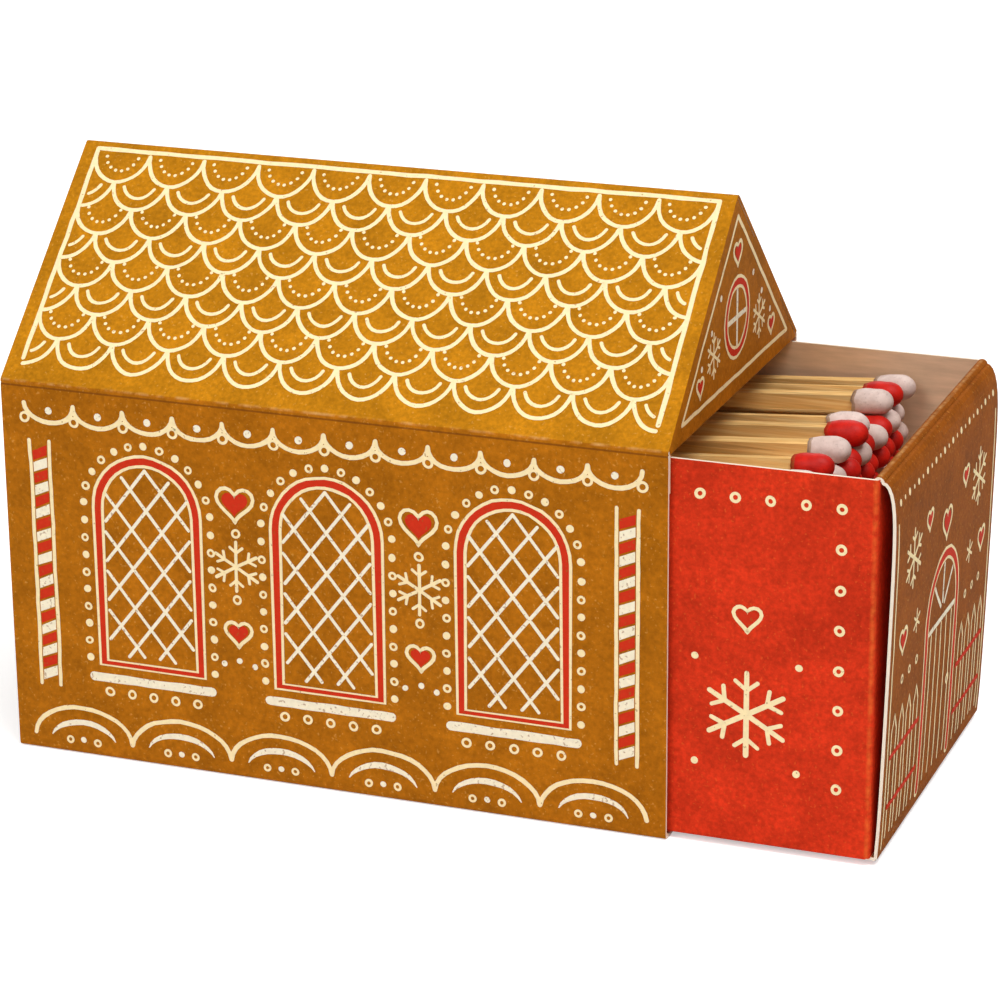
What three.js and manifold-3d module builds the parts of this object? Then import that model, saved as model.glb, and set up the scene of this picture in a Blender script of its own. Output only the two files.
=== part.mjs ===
// A house-shaped box of long matches: a folded card sleeve with a gabled roof, and a card tray
// full of matches that slides out of it under the gable.
// Millimetres, +Z up. The origin is the middle of the sleeve's underside. +X is the way the tray
// opens, and -Y is the long front wall.
import * as THREE from "three";
import { mergeVertices } from "three/addons/utils/BufferGeometryUtils.js";
import Module from "manifold-3d";

const wasm = await Module();
wasm.setup();

// Card and the sleeve
const CARD = 0.5; // thickness of the folded board
const SLEEVE_DEPTH = 66;
const WALL_HEIGHT = 62; // underside to eave
const RIDGE_HEIGHT = 93; // underside to ridge
const FOLD_RADIUS = 0.8; // outside of a creased fold
const INNER_FOLD_RADIUS = 0.2;
const CEILING_DROP = 0.1; // ceiling's upper face below the eave
const FRONT_TAB = 6; // glue tab under the ceiling, on the front wall
const REAR_TAB = 12; // glue tab of the rear slope, on the ceiling
const GABLE_TAB = 9; // glue tab of a gable, under the rear slope
const GABLE_FOLD = 0.7; // rounding of the fold between the front slope and a gable
const FREE_EDGE_GAP = 0.3; // gap at an edge of card that isn't glued
const EAVE_SEAM = 0.35; // depth of the seam where the rear slope meets the rear wall

// Tray
const SLIDE_GAP = 0.3; // running clearance between tray and sleeve
const SLEEVE_PAST_TRAY = 1; // sleeve beyond the tray's corners at each end
const PULL_OUT = 32.5; // how far the tray stands open
const RIM_BELOW_CEILING = 0.6;
const END_FOLD_BELOW_CEILING = 0.3;
const END_TAB = 20; // tabs of the long walls, held between the two end panels
const TAB_GAP = 0.12;
const END_PANEL_BOW = 2.2; // how far an outer end panel springs out
const END_PANEL_FOOT = 1; // outer end panel beyond the tray's corner at the base

// Matches
const STICK = 2.4; // side of the square stick
const MATCH_LENGTH = 94.5; // stick and head
const HEAD_LENGTH = 7.2;
const HEAD_DIAMETER = 4.15;
const HEAD_GAP = 0.1; // between neighbouring heads
const SOCKET_GAP = 0.08; // between a stick and the head dipped on to it
const HEAD_COVER = 1.6; // head beyond the stick's end
const HEAD_SPACE = 10; // free space between the heads and the end wall
const TAIL_SPACE = 1.3; // between the bare ends and the other end wall
const HEAD_RISE = 3.75; // layer to layer, at the heads
const TAIL_RISE = 3.3; // layer to layer, at the bare ends
const TOP_RED = [0, 3, 7, 12]; // columns of the broken top layer that still hold a red match
const TOP_WHITE = [1, 5, 8, 11, 13];
const SECOND_WHITE = [1, 4, 7, 9, 11, 12]; // the others in the second layer are red
const END_SCATTER = 1.1; // how unevenly the heads line up
const YAW_SCATTER = 0.22; // degrees
const ROLL_SCATTER = 14; // degrees

// Places that follow from the sizes above
const trayHalf = (MATCH_LENGTH + HEAD_SPACE + TAIL_SPACE) / 2 + 2 * CARD + TAB_GAP;
const sleeveEnd = trayHalf + SLEEVE_PAST_TRAY;
const wallFace = SLEEVE_DEPTH / 2;
const wallInside = wallFace - CARD;
const ceilingTop = WALL_HEIGHT - CEILING_DROP;
const ceilingUnder = ceilingTop - CARD;
const roofRise = RIDGE_HEIGHT - WALL_HEIGHT;
const roofAngle = Math.atan2(roofRise, wallFace);
const trayFace = wallInside - CARD - SLIDE_GAP; // clears the front glue tab
const trayInside = trayFace - CARD;
const trayUnder = CARD + SLIDE_GAP;
const trayFloor = trayUnder + CARD;
const rim = ceilingUnder - RIM_BELOW_CEILING;
const endFoldTop = ceilingUnder - END_FOLD_BELOW_CEILING;
const innerPanelX = trayHalf - CARD - TAB_GAP - CARD / 2; // middle of the inner end panel's card
const outerPanelX = trayHalf + TAB_GAP + CARD / 2; // middle of the outer end panel's card, at the top
const headPitch = HEAD_DIAMETER + HEAD_GAP;

const materials = {
  gingerbread: new THREE.MeshStandardMaterial({ color: 0xb06a18, roughness: 0.72, metalness: 0 }),
  redCard: new THREE.MeshStandardMaterial({ color: 0xcf3418, roughness: 0.7, metalness: 0 }),
  wood: new THREE.MeshStandardMaterial({ color: 0xc99a55, roughness: 0.8, metalness: 0 }),
  redHead: new THREE.MeshStandardMaterial({ color: 0xc9181a, roughness: 0.55, metalness: 0 }),
  whiteHead: new THREE.MeshStandardMaterial({ color: 0xe4d8d0, roughness: 0.7, metalness: 0 }),
};

// Solids for joining and cutting
function solidOf(geometry) {
  const bare = geometry.index ? geometry.toNonIndexed() : geometry.clone();
  bare.deleteAttribute("normal");
  bare.deleteAttribute("uv");
  const merged = mergeVertices(bare, 1e-4);
  return new wasm.Manifold(
    new wasm.Mesh({
      numProp: 3,
      vertProperties: merged.attributes.position.array,
      triVerts: new Uint32Array(merged.index.array),
    }),
  );
}

function geometryOf(solid) {
  const { vertProperties, triVerts } = solid.getMesh();
  const geometry = new THREE.BufferGeometry();
  geometry.setAttribute("position", new THREE.BufferAttribute(new Float32Array(vertProperties), 3));
  geometry.setIndex(new THREE.BufferAttribute(new Uint32Array(triVerts), 1));
  geometry.computeVertexNormals();
  return geometry;
}

function joined(solids) {
  return solids.reduce((all, one) => all.add(one));
}

function boxBetween(low, high) {
  const size = high.map((value, i) => value - low[i]);
  const middle = high.map((value, i) => (value + low[i]) / 2);
  return new THREE.BoxGeometry(...size).translate(...middle);
}

// A section in the YZ plane, carried along X between two places.
function alongX(shape, from, to) {
  const geometry = new THREE.ExtrudeGeometry(shape, { depth: to - from, bevelEnabled: false });
  geometry.applyMatrix4(new THREE.Matrix4().set(0, 0, 1, from, 1, 0, 0, 0, 0, 1, 0, 0, 0, 0, 0, 1));
  return geometry;
}

// A section in the XZ plane, carried along Y between two places.
function alongY(shape, from, to) {
  const geometry = new THREE.ExtrudeGeometry(shape, { depth: to - from, bevelEnabled: false });
  geometry.applyMatrix4(new THREE.Matrix4().set(1, 0, 0, 0, 0, 0, -1, to, 0, 1, 0, 0, 0, 0, 0, 1));
  return geometry;
}

// A closed outline whose corners are rounded, each corner given as [x, y, radius].
function roundedOutline(corners, steps = 3) {
  const points = [];
  corners.forEach(([x, y, radius], i) => {
    const corner = new THREE.Vector2(x, y);
    const before = new THREE.Vector2(...corners.at(i - 1).slice(0, 2)).sub(corner).normalize();
    const after = new THREE.Vector2(...corners[(i + 1) % corners.length].slice(0, 2)).sub(corner).normalize();
    const half = Math.acos(before.dot(after)) / 2;
    if (radius === 0) {
      points.push(corner);
      return;
    }
    const back = radius / Math.tan(half);
    const start = corner.clone().addScaledVector(before, back);
    const end = corner.clone().addScaledVector(after, back);
    for (let k = 0; k <= steps; k++) {
      const t = k / steps;
      const edge = start.clone().lerp(corner, t);
      points.push(edge.lerp(corner.clone().lerp(end, t), t));
    }
  });
  return points;
}

// The cross-section of a sheet of card whose middle follows the given points.
function sheetShape(middle, thickness = CARD) {
  const side = (sign) =>
    middle.map((point, i) => {
      const from = middle[Math.max(i - 1, 0)];
      const to = middle[Math.min(i + 1, middle.length - 1)];
      const along = to.clone().sub(from).normalize();
      return point.clone().add(new THREE.Vector2(-along.y, along.x).multiplyScalar((sign * thickness) / 2));
    });
  const outline = [...side(1), ...side(-1).reverse()];
  if (THREE.ShapeUtils.isClockWise(outline)) outline.reverse();
  return new THREE.Shape(outline);
}

// The sleeve's section: one glued strip of card, round a tunnel for the tray and the roof space.
function sleeveSection() {
  const seam = EAVE_SEAM;
  const outside = roundedOutline([
    [-wallFace, 0, FOLD_RADIUS],
    [wallFace, 0, FOLD_RADIUS],
    [wallFace, WALL_HEIGHT - seam, 0],
    [wallFace - seam, WALL_HEIGHT, 0],
    [wallFace, WALL_HEIGHT + seam * Math.tan(roofAngle) * 0.5, 0],
    [0, RIDGE_HEIGHT, FOLD_RADIUS],
    [-wallFace, WALL_HEIGHT, FOLD_RADIUS],
  ]);
  const section = new THREE.Shape(outside);
  const tabFace = -wallInside + CARD;
  const tunnel = roundedOutline([
    [-wallInside, CARD, INNER_FOLD_RADIUS],
    [wallInside, CARD, INNER_FOLD_RADIUS],
    [wallInside, ceilingUnder, INNER_FOLD_RADIUS],
    [tabFace, ceilingUnder, INNER_FOLD_RADIUS],
    [tabFace, ceilingUnder - FRONT_TAB, 0],
    [-wallInside, ceilingUnder - FRONT_TAB, 0],
  ]);
  section.holes.push(new THREE.Path(tunnel));
  section.holes.push(new THREE.Path(roofSpaceOutline(REAR_TAB)));
  return section;
}

const slopeAt = (y, inset) => RIDGE_HEIGHT - inset / Math.cos(roofAngle) - (Math.abs(y) * roofRise) / wallFace;
const slopeReach = (z, inset) => ((slopeAt(0, inset) - z) * wallFace) / roofRise;

// The roof space: a triangle over the ceiling, with a step where the rear slope's tab is glued down.
function roofSpaceOutline(tab) {
  const frontCorner = -slopeReach(ceilingTop, CARD) + CARD;
  const tabEnd = slopeReach(ceilingTop, CARD) - CARD - tab;
  const tabTop = ceilingTop + CARD;
  const corners = [
    [frontCorner, ceilingTop, 0],
    [tabEnd, ceilingTop, 0],
    [tabEnd, tabTop, 0],
    [slopeReach(tabTop, CARD), tabTop, 0],
    [0, slopeAt(0, CARD), INNER_FOLD_RADIUS],
    [frontCorner, slopeAt(frontCorner, CARD), 0],
  ];
  return roundedOutline(corners);
}

// One gable: folded back from the front slope, with a tab glued under the rear slope. Its lower edge
// hangs free before the end of the ceiling, and its rear edge is free below the tab.
function gable(side) {
  const face = side * sleeveEnd;
  const back = face - side * CARD;
  const foot = ceilingUnder;
  const reach = wallInside - FREE_EDGE_GAP;
  const glued = CARD / 2; // how far the glued edges run into the slopes
  const panel = new THREE.Shape([
    new THREE.Vector2(-reach, foot),
    new THREE.Vector2(reach, foot),
    new THREE.Vector2(reach, slopeAt(reach, CARD + FREE_EDGE_GAP)),
    new THREE.Vector2(0, slopeAt(0, CARD + FREE_EDGE_GAP)),
    new THREE.Vector2(0, slopeAt(0, glued)),
    new THREE.Vector2(-reach, slopeAt(reach, glued)),
  ]);
  const tabFoot = foot + GABLE_TAB;
  const tabHead = RIDGE_HEIGHT - GABLE_TAB;
  const tab = new THREE.Shape([
    new THREE.Vector2(slopeReach(tabFoot, glued), tabFoot),
    new THREE.Vector2(slopeReach(tabHead, glued), tabHead),
    new THREE.Vector2(slopeReach(tabHead, 2 * CARD), tabHead),
    new THREE.Vector2(slopeReach(tabFoot, 2 * CARD), tabFoot),
  ]);
  const tabEnd = face - side * GABLE_TAB;
  return [
    solidOf(alongX(panel, Math.min(face, back), Math.max(face, back))),
    solidOf(alongX(tab, Math.min(face, tabEnd), Math.max(face, tabEnd))),
  ];
}

// The ends of the ceiling and of the tab on it stop behind the gables.
function ceilingEndCut(side) {
  const from = side * (sleeveEnd - CARD - FREE_EDGE_GAP);
  const to = side * (sleeveEnd + CARD);
  const [low, high] = [Math.min(from, to), Math.max(from, to)];
  const tabSide = slopeReach(ceilingTop + CARD, CARD);
  return [
    solidOf(boxBetween([low, -wallInside, ceilingUnder], [high, wallInside, WALL_HEIGHT])),
    solidOf(boxBetween([low, -tabSide, ceilingTop], [high, tabSide, ceilingTop + CARD])),
  ];
}

// What a rounded fold takes off the sharp corner between the front slope and one gable: a strip
// along the slope whose section is the corner outside a rolled edge.
function gableFoldCut(side) {
  const past = 0.2;
  const roll = Array.from({ length: 4 }, (_, k) => {
    const turn = (k / 3) * (Math.PI / 2);
    return new THREE.Vector2(GABLE_FOLD * (Math.sin(turn) - 1), GABLE_FOLD * (Math.cos(turn) - 1));
  });
  const corner = [[past, -GABLE_FOLD], [past, past], [-GABLE_FOLD, past]].map((xy) => new THREE.Vector2(...xy));
  const section = new THREE.Shape([...roll, ...corner].reverse());
  const length = Math.hypot(wallFace, roofRise) + 2 * past;
  const strip = new THREE.ExtrudeGeometry(section, { depth: length, bevelEnabled: false });
  const up = new THREE.Vector3(0, Math.cos(roofAngle), Math.sin(roofAngle));
  const out = new THREE.Vector3(0, -Math.sin(roofAngle), Math.cos(roofAngle));
  const along = new THREE.Vector3(1, 0, 0);
  const foot = new THREE.Vector3(sleeveEnd, -wallFace, WALL_HEIGHT).addScaledVector(up, -past);
  strip.applyMatrix4(new THREE.Matrix4().makeBasis(along, out, along.clone().cross(out)).setPosition(foot));
  const cut = solidOf(strip);
  return side > 0 ? cut : cut.mirror([1, 0, 0]);
}

function sleeveGeometry() {
  const ends = joined([...ceilingEndCut(1), ...ceilingEndCut(-1)]);
  const tube = solidOf(alongX(sleeveSection(), -sleeveEnd, sleeveEnd)).subtract(ends);
  const folded = joined([tube, ...gable(1), ...gable(-1)]);
  return geometryOf(folded.subtract(gableFoldCut(1)).subtract(gableFoldCut(-1)));
}

// How far an outer end panel stands out of its chord, by share of its height: a long spring with
// the sharp turn near the rim.
const bowAt = (share) => END_PANEL_BOW * share ** 0.75 * Math.sqrt(Math.max(0, 1 - share ** 16));

// The middle line of one end's card in the XZ plane: up the outer panel, over the rim, and down
// the inner panel.
function endPanelLine() {
  const line = [];
  const foot = trayUnder + CARD / 2;
  const foldMiddle = (innerPanelX + outerPanelX) / 2;
  const foldRadius = (outerPanelX - innerPanelX) / 2;
  const foldCentre = endFoldTop - CARD / 2 - foldRadius;
  const outerSteps = 20;
  for (let k = 0; k <= outerSteps; k++) {
    const share = Math.sin((k / outerSteps) * (Math.PI / 2));
    const chord = END_PANEL_FOOT - CARD / 2 + trayHalf;
    const x = chord + (outerPanelX - chord) * share + bowAt(share);
    line.push(new THREE.Vector2(x, foot + (foldCentre - foot) * share));
  }
  const foldSteps = 8;
  for (let k = 1; k <= foldSteps; k++) {
    const turn = (k / foldSteps) * Math.PI;
    line.push(
      new THREE.Vector2(foldMiddle + foldRadius * Math.cos(turn), foldCentre + foldRadius * Math.sin(turn)),
    );
  }
  line.push(new THREE.Vector2(innerPanelX, trayFloor + TAB_GAP));
  return line;
}

// One long wall in plan, from the tab at one end to the tab at the other.
function longWall(side) {
  const face = side * trayFace;
  const inside = side * trayInside;
  const tabEnd = side * (trayFace - END_TAB);
  const corners = [
    [-trayHalf, tabEnd, 0],
    [-trayHalf, face, FOLD_RADIUS],
    [trayHalf, face, FOLD_RADIUS],
    [trayHalf, tabEnd, 0],
    [trayHalf - CARD, tabEnd, 0],
    [trayHalf - CARD, inside, INNER_FOLD_RADIUS],
    [-trayHalf + CARD, inside, INNER_FOLD_RADIUS],
    [-trayHalf + CARD, tabEnd, 0],
  ];
  const outline = roundedOutline(corners);
  if (THREE.ShapeUtils.isClockWise(outline)) outline.reverse();
  const foot = trayUnder + FOLD_RADIUS / 2;
  const wall = new THREE.ExtrudeGeometry(new THREE.Shape(outline), { depth: rim - foot, bevelEnabled: false });
  return solidOf(wall.translate(0, 0, foot));
}

// The base and the lower folds of the long walls.
function trayBase() {
  const foldTop = trayFloor + INNER_FOLD_RADIUS;
  const section = roundedOutline([
    [-trayFace, trayUnder, FOLD_RADIUS],
    [trayFace, trayUnder, FOLD_RADIUS],
    [trayFace, foldTop + FOLD_RADIUS, 0],
    [trayInside, foldTop + FOLD_RADIUS, 0],
    [trayInside, trayFloor, INNER_FOLD_RADIUS],
    [-trayInside, trayFloor, INNER_FOLD_RADIUS],
    [-trayInside, foldTop + FOLD_RADIUS, 0],
    [-trayFace, foldTop + FOLD_RADIUS, 0],
  ]);
  const reach = trayHalf - FOLD_RADIUS;
  return solidOf(alongX(new THREE.Shape(section), -reach, reach));
}

function endPanel(side) {
  const panel = solidOf(alongY(sheetShape(endPanelLine()), -trayInside + TAB_GAP, trayInside - TAB_GAP));
  const footReach = trayHalf + END_PANEL_FOOT - CARD / 2;
  const hem = [
    [trayHalf - 2 * FOLD_RADIUS, -trayInside + TAB_GAP, trayUnder],
    [footReach, trayInside - TAB_GAP, trayFloor],
  ];
  const foot = solidOf(boxBetween(hem[0], hem[1]));
  const whole = panel.add(foot);
  return side > 0 ? whole : whole.mirror([1, 0, 0]);
}

function trayGeometry() {
  const card = [trayBase(), longWall(1), longWall(-1), endPanel(1), endPanel(-1)];
  return geometryOf(joined(card));
}

// A repeatable spread between -1 and 1.
function scatter(seed) {
  const wave = Math.sin(seed * 12.9898) * 43758.5453;
  return 2 * (wave - Math.floor(wave)) - 1;
}

const headMiddleX = trayHalf - 2 * CARD - TAB_GAP - HEAD_SPACE - HEAD_LENGTH / 2;
const tailX = headMiddleX + HEAD_LENGTH / 2 - MATCH_LENGTH;
const stackHeight = rim - trayFloor;
const layers = Math.floor((stackHeight - HEAD_DIAMETER) / HEAD_RISE) + 1;
const evenColumns = Math.floor((2 * trayInside - 2 * HEAD_GAP - HEAD_DIAMETER) / headPitch) + 1;

// A layer's height at the heads and at the bare ends, its slope and its columns. Odd layers lie in
// the hollows of even ones.
function layerAt(index) {
  const headZ = trayFloor + HEAD_GAP + HEAD_DIAMETER / 2 + index * HEAD_RISE;
  const tailZ = trayFloor + HEAD_GAP + STICK * 0.62 + index * TAIL_RISE;
  const slope = Math.atan2(headZ - tailZ, headMiddleX - tailX);
  const count = evenColumns - (index % 2);
  const columns = Array.from({ length: count }, (_, i) => (i - (count - 1) / 2) * headPitch);
  return { headZ, slope, columns };
}

// A head turned about its own length: a rounded tip, a full belly and a thin collar on the stick.
function headProfile() {
  const r = HEAD_DIAMETER / 2;
  const half = HEAD_LENGTH / 2;
  const collar = STICK * 0.72;
  return [
    [0, -half],
    [collar, -half],
    [r * 0.97, -half * 0.55],
    [r, half * 0.1],
    [r * 0.86, half * 0.66],
    [r * 0.5, half * 0.93],
    [0, half],
  ].map(([radius, x]) => new THREE.Vector2(radius, x));
}

const HEAD_SIDES = 8;
const stickLength = MATCH_LENGTH - HEAD_COVER;
const stickEnd = HEAD_LENGTH / 2 - HEAD_COVER; // the stick's end, from the head's middle

function headGeometry() {
  const whole = new THREE.LatheGeometry(headProfile(), HEAD_SIDES, Math.PI / HEAD_SIDES);
  whole.rotateZ(-Math.PI / 2);
  const half = STICK / 2 + SOCKET_GAP;
  const socket = boxBetween([-HEAD_LENGTH, -half, -half], [stickEnd + SOCKET_GAP, half, half]);
  return geometryOf(solidOf(whole).subtract(solidOf(socket)));
}

const stickBox = () =>
  boxBetween([stickEnd - stickLength, -STICK / 2, -STICK / 2], [stickEnd, STICK / 2, STICK / 2]);

// One match that can be lifted out: a stick and a head that share a small group placed at the head.
function match(number, y, layer, red) {
  const lift = new THREE.Group();
  lift.rotation.order = "YZX";
  const seed = number + 1;
  lift.position.set(headMiddleX + END_SCATTER * scatter(seed), y, layer.headZ);
  lift.rotation.y = -layer.slope;
  lift.rotation.z = THREE.MathUtils.degToRad(YAW_SCATTER * scatter(seed * 3));
  lift.rotation.x = THREE.MathUtils.degToRad(ROLL_SCATTER * scatter(seed * 7));
  const label = String(number).padStart(2, "0");
  const stick = new THREE.Mesh(stickBox(), materials.wood);
  stick.name = `match_${label}_stick`;
  const head = new THREE.Mesh(headGeometry(), red ? materials.redHead : materials.whiteHead);
  head.name = `match_${label}_head`;
  lift.add(stick, head);
  return lift;
}

// The matches under the top two layers, packed tight and fused: one sloping block of sticks with
// the upper row of sticks proud of it, and every head standing out of its end.
function lowerMatches(count) {
  const shoulder = headMiddleX - HEAD_LENGTH * 0.25;
  const top = layerAt(count - 1);
  const underTop = (x) => top.headZ - (headMiddleX - x) * Math.tan(top.slope) - STICK / 2;
  const floor = trayFloor + HEAD_GAP;
  const profile = new THREE.Shape([
    new THREE.Vector2(tailX, floor),
    new THREE.Vector2(shoulder, floor),
    new THREE.Vector2(shoulder, underTop(shoulder)),
    new THREE.Vector2(tailX, underTop(tailX)),
  ]);
  const widest = ((evenColumns - 1) * headPitch) / 2 + STICK / 2;
  const block = solidOf(alongY(profile, -widest, widest));
  const row = top.columns.map((y) =>
    solidOf(
      boxBetween([tailX - headMiddleX, -STICK / 2, -STICK / 2], [-HEAD_LENGTH * 0.2, STICK / 2, STICK / 2])
        .rotateY(-top.slope)
        .translate(headMiddleX, y, top.headZ - SOCKET_GAP),
    ),
  );
  const heads = [];
  for (let index = 0; index < count; index++) {
    const layer = layerAt(index);
    layer.columns.forEach((y, column) => {
      const long = HEAD_LENGTH * 0.9;
      const shift = 0.5 * END_SCATTER * scatter(index * 31 + column + 5);
      const head = new THREE.CylinderGeometry(HEAD_DIAMETER * 0.3, HEAD_DIAMETER / 2, long, 6);
      head.rotateZ(-Math.PI / 2);
      head.translate(headMiddleX + (HEAD_LENGTH - long) / 2 + shift, y, layer.headZ);
      heads.push(solidOf(head));
    });
  }
  return joined([block, ...row, ...heads]);
}

const house = new THREE.Group();

const sleeve = new THREE.Mesh(sleeveGeometry(), materials.gingerbread);
sleeve.name = "sleeve";
house.add(sleeve);

const drawer = new THREE.Group();
drawer.position.x = PULL_OUT;
house.add(drawer);

const tray = new THREE.Mesh(trayGeometry(), materials.redCard);
tray.name = "tray";
drawer.add(tray);

const topLayer = layerAt(layers - 1);
const secondLayer = layerAt(layers - 2);
const topColumns = [...TOP_RED, ...TOP_WHITE].sort((a, b) => a - b);
topColumns
  .filter((column) => column < topLayer.columns.length)
  .forEach((column, i) => {
    drawer.add(match(i + 1, topLayer.columns[column], topLayer, TOP_RED.includes(column)));
  });
secondLayer.columns.forEach((y, column) => {
  drawer.add(match(topColumns.length + column + 1, y, secondLayer, !SECOND_WHITE.includes(column)));
});

const lower = new THREE.Mesh(geometryOf(lowerMatches(layers - 2)), materials.redHead);
lower.name = "lower_matches";
drawer.add(lower);

export default house;
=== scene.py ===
"""Looks for the house-shaped box of long matches: card, print, cut edges, sticks and dipped heads.

The print is thin flat geometry just above the card. It is drawn face by face in millimetres, with
u to the right and v up as one looks at the face from outside.
"""
from math import atan2, ceil, cos, hypot, pi, radians, sin

import bpy
from mathutils import Matrix, Vector, noise
from mathutils.bvhtree import BVHTree


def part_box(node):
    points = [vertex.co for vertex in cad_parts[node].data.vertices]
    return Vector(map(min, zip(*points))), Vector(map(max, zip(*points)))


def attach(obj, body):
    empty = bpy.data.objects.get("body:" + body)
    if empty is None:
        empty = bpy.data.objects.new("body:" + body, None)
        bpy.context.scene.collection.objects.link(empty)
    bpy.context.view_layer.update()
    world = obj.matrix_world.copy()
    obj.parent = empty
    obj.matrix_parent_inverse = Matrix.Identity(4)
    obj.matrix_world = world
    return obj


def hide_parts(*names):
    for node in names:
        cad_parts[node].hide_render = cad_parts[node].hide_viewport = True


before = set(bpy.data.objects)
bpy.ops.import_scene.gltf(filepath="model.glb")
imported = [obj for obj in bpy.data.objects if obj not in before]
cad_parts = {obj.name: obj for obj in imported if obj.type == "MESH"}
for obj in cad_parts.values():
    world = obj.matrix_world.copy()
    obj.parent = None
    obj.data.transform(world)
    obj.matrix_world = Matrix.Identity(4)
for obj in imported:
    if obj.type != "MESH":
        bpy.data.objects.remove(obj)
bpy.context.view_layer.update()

MM = 0.001
SLEEVE = "sleeve"
TRAY = "tray"

# Camera, fitted to the corners of the box in the photograph
CAMERA_AT = Vector((0.2128, -0.5118, 0.2294))
CAMERA_AHEAD = Vector((-0.33931, 0.88184, -0.32746))
CAMERA_ROLL = radians(-0.5)
CAMERA_LENS = 130.7

# Places read from the frame, in millimetres
sleeve_low, sleeve_high = (Vector(corner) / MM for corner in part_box("sleeve"))
tray_low, tray_high = (Vector(corner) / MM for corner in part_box("tray"))
LENGTH = sleeve_high.x - sleeve_low.x
DEPTH = sleeve_high.y - sleeve_low.y
CARD = 0.5
WALL = 62.0
RIDGE = 93.0
REAR_EAVE = 62.164  # the rear slope starts a little higher, at its seam
SLOPE = hypot(DEPTH / 2, RIDGE - WALL)
ROOF_ANGLE = atan2(RIDGE - WALL, DEPTH / 2)
PULL_OUT = 32.5
TRAY_CORNER = 54.02
TRAY_FACE = tray_high.y
RIM = 60.8
GABLE_FOOT = 61.3
PANEL_WIDTH = 2 * (TRAY_FACE - CARD) - 0.24

# Heights of the layers of print above the card. Shapes of one layer that cross lie a hair apart.
UNDER, OVER = 0.02, 0.045
HAIR = 0.0015


def srgb(red, green, blue):
    """A linear colour from the 0 to 255 values of a screen colour."""

    def channel(value):
        share = value / 255
        return share / 12.92 if share <= 0.04045 else ((share + 0.055) / 1.055) ** 2.4

    return (channel(red), channel(green), channel(blue), 1.0)


ROOF_BROWN = srgb(188, 122, 18)
WALL_BROWN = srgb(176, 104, 16)
PANEL_BROWN = srgb(150, 80, 18)
CARD_RED = srgb(210, 54, 26)
BARE_BOARD = srgb(224, 188, 154)
CUT_EDGE = srgb(240, 226, 206)
ICING = srgb(250, 228, 178)
WHITE_INK = srgb(246, 234, 206)
RED_INK = srgb(206, 52, 28)
MOTTLE_ORANGE = srgb(232, 112, 48)
FLECK_TAN = srgb(224, 168, 82)
RUBBED_EDGE = srgb(226, 178, 112)
STRIKER_BROWN = srgb(74, 44, 34)
# Painted shade for the groove of the score line under the eave
CREASE_SHADE = srgb(110, 58, 16)
WORN_INK = srgb(150, 92, 40)
WOOD_DARK, WOOD_LIGHT = srgb(228, 170, 92), srgb(254, 218, 150)
WOOD_RAY = srgb(140, 88, 40)
FLOOR_WHITE = srgb(240, 240, 239)
FLOOR_GLOW = 0.45

# The main colour, the shade and the grit of each head, and of its thin collar
HEAD_RED = (srgb(212, 32, 18), srgb(176, 20, 12), srgb(116, 14, 10))
HEAD_WHITE = (srgb(228, 206, 196), srgb(204, 180, 170), srgb(146, 120, 110))
COLLAR_RED = (srgb(196, 40, 24), srgb(150, 74, 36), srgb(110, 40, 20))
COLLAR_WHITE = (srgb(196, 172, 156), srgb(150, 116, 84), srgb(104, 78, 58))


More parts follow.
